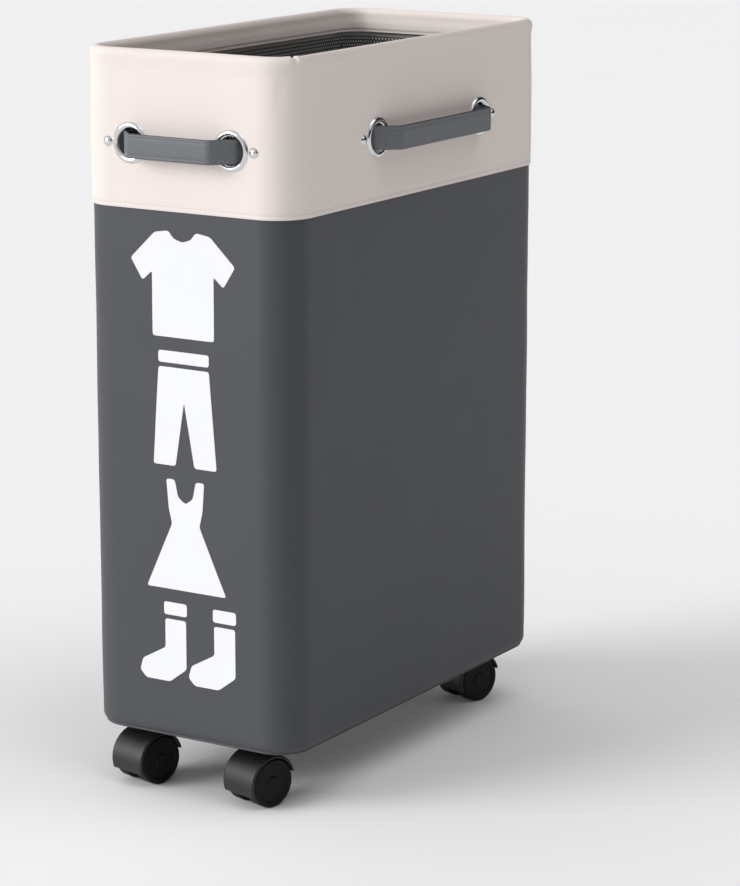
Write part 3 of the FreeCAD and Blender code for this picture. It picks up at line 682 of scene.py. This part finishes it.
def make_collar():
    """The mesh collar, the tape that binds it to the rim and the hem at its lower edge."""
    collar = cloth_tube(
        "mesh_collar",
        [(MESH_DEPTH, height) for height in spread(MESH_BOTTOM, MESH_TOP + 1.5 * MM, 5 * MM)],
        0.3 * MM,
        collar_shape,
    )
    dress(collar, black_mesh)
    stand_for(collar, "black_mesh", "mesh_cover")
    edge = [
        (MESH_DEPTH - 0.4 * MM, MESH_TOP),
        (MESH_DEPTH - 0.4 * MM, MESH_TOP + 1.2 * MM),
        (MESH_DEPTH - 0.4 * MM, BAND_BOTTOM + 0.4 * MM),
    ]
    binding = cloth_tube("collar_binding", edge, 1.4 * MM, still)
    dress(binding, cream_cloth)
    stand_for(binding, "cream_cloth", "mesh_binding")
    tape = [(MESH_DEPTH - 0.5 * MM, height) for height in spread(HEM_BOTTOM, MESH_BOTTOM + 1.0 * MM, 3 * MM)]
    hem = cloth_tube("collar_hem", tape, 1.5 * MM, collar_shape)
    dress(hem, black_tape)
    stand_for(hem, "binding_tape", "mesh_hem")


# ---- the straps ---------------------------------------------------------------------------------------


def strap_places():
    """Each strap's wall, directions and reaches, from its CAD solids."""
    straps = {}
    facings = {"front": (0, -1, 0), "right": (1, 0, 0), "back": (0, 1, 0), "left": (-1, 0, 0)}
    for name, facing in facings.items():
        outward = Vector(facing)
        along = Vector((-outward.y, outward.x, 0))
        low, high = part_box(f"handle_{name}")
        tabs = [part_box(f"handle_{name}_{side}_tab") for side in ("left", "right")]
        face = abs(outward.dot(Vector((HALF_X, HALF_Y, 0))))
        middle = (low + high) / 2
        ends = [abs((corner - middle).dot(along)) for tab in tabs for corner in tab]
        inside = [abs(corner.dot(outward)) for corner in tabs[0]]
        straps[name] = {
            "outward": outward,
            "along": along,
            "wall": middle - outward * (middle.dot(outward) - face),
            "eyelet": max(ends) - RIVET_TO_END - EYELET_TO_RIVET,
            "end": max(ends),
            "bow": max(abs(low.dot(outward)), abs(high.dot(outward))) - face - STRAP_THICK / 2,
            "tab": face - sum(inside) / 2,
        }
    return straps


STRAPS = strap_places()


def rounded_path(points, radii, steps=9):
    """A path of straight runs with each inner corner rounded to its radius."""
    path = [points[0]]
    for before, corner, after, radius in zip(points, points[1:], points[2:], radii):
        back, forth = (before - corner).normalized(), (after - corner).normalized()
        half = back.angle(forth) / 2
        start = corner + back * (radius / math.tan(half))
        centre = corner + (back + forth).normalized() * (radius / math.sin(half))
        sweep = math.pi - 2 * half
        spin = (start - centre).normalized()
        side = (forth - spin * forth.dot(spin)).normalized()
        for i in range(steps + 1):
            angle = sweep * i / steps
            path.append(centre + (spin * math.cos(angle) + side * math.sin(angle)) * radius)
    return path + [points[-1]]


def even_path(path, step):
    """The same path with points every step or so."""
    fuller = []
    for a, b in zip(path, path[1:]):
        count = max(1, math.ceil((b - a).length / step))
        fuller += [a.lerp(b, i / count) for i in range(count)]
    return fuller + [path[-1]]


def strap_section():
    """(across, out) round a strap's section: crowned faces, stitch grooves and thinned edges, which
    make_strap gives their dark finish.
    """
    half, thick = STRAP_WIDE / 2, STRAP_THICK / 2
    one_half = [0.25, 0.5, 0.68, STITCH_LINE, 0.8, 0.9, 0.97, 1]
    side = []
    for across in [-share for share in reversed(one_half)] + [0] + one_half:
        crown = thick * (1 - 0.12 * abs(across) ** 3)
        groove = 0.3 * MM * bell(abs(across), STITCH_LINE, 0.05)
        lip = thick * 0.45 * ease(abs(across), 0.93, 1.0)
        side.append((across * half, crown - groove - lip))
    return side + [(across, -out) for across, out in reversed(side)]


STRAP_BENDS = [radius * MM for radius in (3.2, 9, 6, 6, 9, 3.2)]  # at each corner of a strap's path


def make_strap(name, strap):
    """A leather strap with stitched edges, from rivet to rivet through both eyelets."""
    root, far = strap["eyelet"] + STRAP_ROOT, strap["end"]
    bend = root - STRAP_LEAN
    bow, tab = strap["bow"], strap["tab"]
    corners = [(far, -tab), (root + 2 * MM, -tab), (root, 0), (bend, bow)]
    corners += [(-a, o) for a, o in reversed(corners)]
    along, outward, wall = strap["along"], strap["outward"], strap["wall"]
    points = [wall + along * a + outward * o for a, o in corners]
    path = even_path(rounded_path(points, STRAP_BENDS), 3.5 * MM)
    section = strap_section()
    up = Vector((0, 0, 1))
    vertices, faces, marks, frames = [], [], [], []
    for i, place in enumerate(path):
        forward = (path[min(i + 1, len(path) - 1)] - path[max(i - 1, 0)]).normalized()
        out = forward.cross(up) * -1
        frames.append((place, forward, out))
        for across, lift in section:
            vertices.append(place + up * across + out * lift)
    count = len(section)
    for row in range(len(path) - 1):
        for k in range(count):
            a, b = row * count + k, row * count + (k + 1) % count
            faces.append((a, b, b + count, a + count))
            edge = min(abs(section[k][0]), abs(section[(k + 1) % count][0])) > STRAP_WIDE * 0.48
            marks.append(1 if edge else 0)
    for row in (0, len(path) - 1):
        faces.append(tuple(row * count + k for k in range(count)))
        marks.append(1)
    walked = 0.0
    for (place, forward, out), (following, _, _) in zip(frames, frames[1:]):
        run = (following - place).length
        first = math.ceil(walked / STITCH_PITCH)
        while first * STITCH_PITCH < walked + run:
            spot = place.lerp(following, (first * STITCH_PITCH - walked) / run)
            for level in (-STITCH_LINE, STITCH_LINE):
                for face in (-1, 1):
                    before = len(faces)
                    stitch = spot + up * (level * STRAP_WIDE / 2) + out * (face * STRAP_THICK * 0.38)
                    add_stitch(vertices, faces, stitch, forward, out * face, 2.7 * MM, 0.6 * MM)
                    marks += [2] * (len(faces) - before)
            first += 1
        walked += run
    obj = new_object(f"strap_{name}", vertices, faces, sharp=50)
    dress(obj, strap_leather, strap_edge, strap_thread)
    obj.data.polygons.foreach_set("material_index", marks)
    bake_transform(obj)
    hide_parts(f"handle_{name}", f"handle_{name}_left_tab", f"handle_{name}_right_tab")


# ---- the print ----------------------------------------------------------------------------------------

# Plain clothing shapes from the top of the column down: (height, outlines of (across, up)), in mm.
SHIRT = [(-13, 84), (-26, 82), (-49, 60), (-38, 43), (-29, 51), (-29, 0), (29, 0), (29, 51), (38, 43)]
SHIRT += [(49, 60), (26, 82), (13, 84), (8, 78), (0, 75.5), (-8, 78)]
TROUSERS = [(-24, 79), (-30, 0), (-9, 0), (0, 52), (9, 0), (30, 0), (24, 79)]
WAISTBAND = [(-24, 82.5), (-24, 92), (24, 92), (24, 82.5)]
DRESS = [(-18, 90), (-16, 66), (-13, 54), (-38, 0), (38, 0), (13, 54), (16, 66), (18, 90), (10, 90)]
DRESS += [(7, 76), (0, 71), (-7, 76), (-10, 90)]
SOCK = [(-8, 52), (-8, 28), (-30, 16), (-33, 6), (-27, 0), (-4, 0), (12, 12), (12, 52)]
SOCK_TOP = [(-9, 55.5), (-9, 66), (13, 66), (13, 55.5)]
SOCKS = [[(x + side, y) for x, y in outline] for side in (-13, 34) for outline in (SOCK, SOCK_TOP)]
COLUMN = [(84, [SHIRT]), (92, [TROUSERS, WAISTBAND]), (90, [DRESS]), (66, SOCKS)]

PRINT_TOP = 461 * MM
PRINT_GAP = 11 * MM
PRINT_THICK = 0.2 * MM
PRINT_CELL = 6 * MM  # the print is cut this fine, to follow the cloth's swell


def softened(outline, radius, steps=5):
    """An outline with its corners rounded off, as far as its edges leave room."""
    soft = []
    for before, corner, after in zip(outline[-1:] + outline, outline, outline[1:] + outline[:1]):
        before, corner, after = Vector(before), Vector(corner), Vector(after)
        reach = min(radius, (before - corner).length * 0.4, (after - corner).length * 0.4)
        start = corner + (before - corner).normalized() * reach
        end = corner + (after - corner).normalized() * reach
        for i in range(steps + 1):
            t = i / steps
            soft.append(start.lerp(corner, t).lerp(corner.lerp(end, t), t))
    return soft


def make_print():
    """A column of clothing shapes in white ink on the narrow front wall."""
    work = bmesh.new()
    top = PRINT_TOP
    for height, outlines in COLUMN:
        low = top - height * MM
        for outline in outlines:
            points = softened([(x * MM, low + y * MM) for x, y in outline], 2.4 * MM)
            work.faces.new([work.verts.new((p.x, -HALF_Y, p.y)) for p in points])
        top = low - PRINT_GAP
    work.normal_update()
    bmesh.ops.triangulate(work, faces=work.faces)
    for axis, low, high in ((0, -HALF_X, HALF_X), (2, top, PRINT_TOP)):
        normal = Vector((axis == 0, 0, axis == 2))
        for value in spread(low, high, PRINT_CELL):
            geometry = work.verts[:] + work.edges[:] + work.faces[:]
            bmesh.ops.bisect_plane(work, geom=geometry, plane_co=normal * value, plane_no=normal, dist=1e-6)
    bmesh.ops.remove_doubles(work, verts=work.verts, dist=0.02 * MM)
    bmesh.ops.dissolve_degenerate(work, edges=work.edges, dist=0.02 * MM)
    for vertex in work.verts:
        out, _ = wall_shape(Vector((vertex.co.x, -HALF_Y, 0)), vertex.co.z, 0)
        vertex.co.y = -HALF_Y + CLOTH_DEPTH - out - 0.06 * MM
    bmesh.ops.recalc_face_normals(work, faces=work.faces)
    raised = bmesh.ops.extrude_face_region(work, geom=work.faces[:])
    lifted = [v for v in raised["geom"] if isinstance(v, bmesh.types.BMVert)]
    bmesh.ops.translate(work, verts=lifted, vec=(0, -PRINT_THICK, 0))
    mesh = bpy.data.meshes.new("front_print")
    work.to_mesh(mesh)
    work.free()
    obj = bpy.data.objects.new("front_print", mesh)
    bpy.context.scene.collection.objects.link(obj)
    tidy_normals(obj)
    dress(obj, print_ink)
    stand_for(obj, "cream_cloth")


# ---- metal and moulded parts, as the CAD has them -----------------------------------------------------

FINISHES = {
    "rim_wire": plain_steel,
    "rim_ferrule": plain_steel,
    "wall_stiffener": stiff_sheet,
    "base_board": board_plastic,
    "handle_eyelets": chrome,
    "eyelet_washers": chrome,
    "handle_rivets": chrome,
    "rivet_backs": chrome,
    "caster_stems": plain_steel,
    "stem_washers": plain_steel,
    "tee_nuts": plain_steel,
    "stem_grip_rings": plain_steel,
}


def dress_frame():
    for name, obj in nodes.items():
        if name in FINISHES:
            dress(obj, FINISHES[name])
        elif name.startswith("caster_hood"):
            dress(obj, hood_plastic)
        elif name.startswith("caster_wheel"):
            dress(obj, wheel_plastic)
        elif name.startswith("caster_axle"):
            dress(obj, plain_steel)


# ---- camera, light and floor --------------------------------------------------------------------------

AZIMUTH, ELEVATION = 31.693, 12.88  # degrees round from the front to the right, and up
LENS = 130.02  # mm, on a sensor 36 mm wide
AIM = (0.0400, 0.0132, 0.2573)
CAMERA_AWAY = 2.6722
FAR_ENOUGH = 50
FLOOR_REACH = 40
BRIGHT_SIDE = (-0.75, -0.5, 0.5)  # where the studio's light comes from
BRIGHT = 0.9
DIM = 0.02


def add_camera():
    """A long lens from front right, a little above the middle."""
    azimuth, elevation = math.radians(AZIMUTH), math.radians(ELEVATION)
    away = Vector(
        (
            math.sin(azimuth) * math.cos(elevation),
            -math.cos(azimuth) * math.cos(elevation),
            math.sin(elevation),
        )
    )
    data = bpy.data.cameras.new("camera")
    data.sensor_width = 36
    data.lens = LENS
    data.clip_end = FAR_ENOUGH
    camera = bpy.data.objects.new("camera", data)
    aim = Vector(AIM)
    camera.location = aim + away * CAMERA_AWAY
    camera.rotation_euler = away.to_track_quat("Z", "Y").to_euler()
    bpy.context.scene.collection.objects.link(camera)
    bpy.context.scene.camera = camera


def add_sun(name, toward, width, power):
    """Light from one direction, as from a lamp box that many degrees wide."""
    data = bpy.data.lights.new(name, "SUN")
    data.angle = math.radians(width)
    data.energy = power
    light = bpy.data.objects.new(name, data)
    light.rotation_euler = Vector(toward).to_track_quat("Z", "Y").to_euler()
    bpy.context.scene.collection.objects.link(light)


def add_world():
    """Soft studio light, brightest from the front left and above and dim from the right."""
    world = bpy.data.worlds.new("studio")
    bpy.context.scene.world = world
    world.use_nodes = True
    tree = world.node_tree
    tree.nodes.clear()

    def node(kind, **settings):
        made = tree.nodes.new(f"ShaderNode{kind}")
        for name, setting in settings.items():
            setattr(made, name, setting)
        return made

    direction = node("TexCoord").outputs["Generated"]
    toward = node("VectorMath", operation="DOT_PRODUCT")
    tree.links.new(direction, toward.inputs[0])
    toward.inputs[1].default_value = Vector(BRIGHT_SIDE).normalized()
    level = node("MapRange", interpolation_type="SMOOTHSTEP")
    level.inputs["From Min"].default_value = -0.6
    level.inputs["From Max"].default_value = 0.8
    level.inputs["To Min"].default_value = DIM
    level.inputs["To Max"].default_value = BRIGHT
    tree.links.new(toward.outputs["Value"], level.inputs["Value"])
    lit = node("Background")
    tree.links.new(level.outputs[0], lit.inputs["Strength"])
    tree.links.new(lit.outputs[0], node("OutputWorld").inputs["Surface"])


def add_studio():
    """The floor, the lights and the way that colours are shown."""
    corners = [(x * FLOOR_REACH, y * FLOOR_REACH, 0) for x, y in ((-1, -1), (1, -1), (1, 1), (-1, 1))]
    floor = new_object("floor", corners, [(0, 1, 2, 3)])
    pale = Shader("pale_floor", Roughness=0.9)
    pale.use("Base Color", pale.blend(pale.noise(0.6), (0.93, 0.93, 0.93, 1), (0.95, 0.95, 0.95, 1)))
    dress(floor, pale.material)
    add_world()
    add_sun("key", (-0.62, -0.75, 0.36), 36, 2.1)
    add_sun("fill", (0.6, 0.1, 0.7), 60, 0.52)
    add_sun("above", (0.3, 0.1, 1), 40, 0.35)
    bpy.context.scene.view_settings.view_transform = "Standard"


# ---- make everything ----------------------------------------------------------------------------------

add_camera()
add_studio()
dress_frame()
make_walls()
make_bottom()
make_cuff()
make_lining()
make_insert()
make_collar()
for name, strap in STRAPS.items():
    make_strap(name, strap)
make_print()
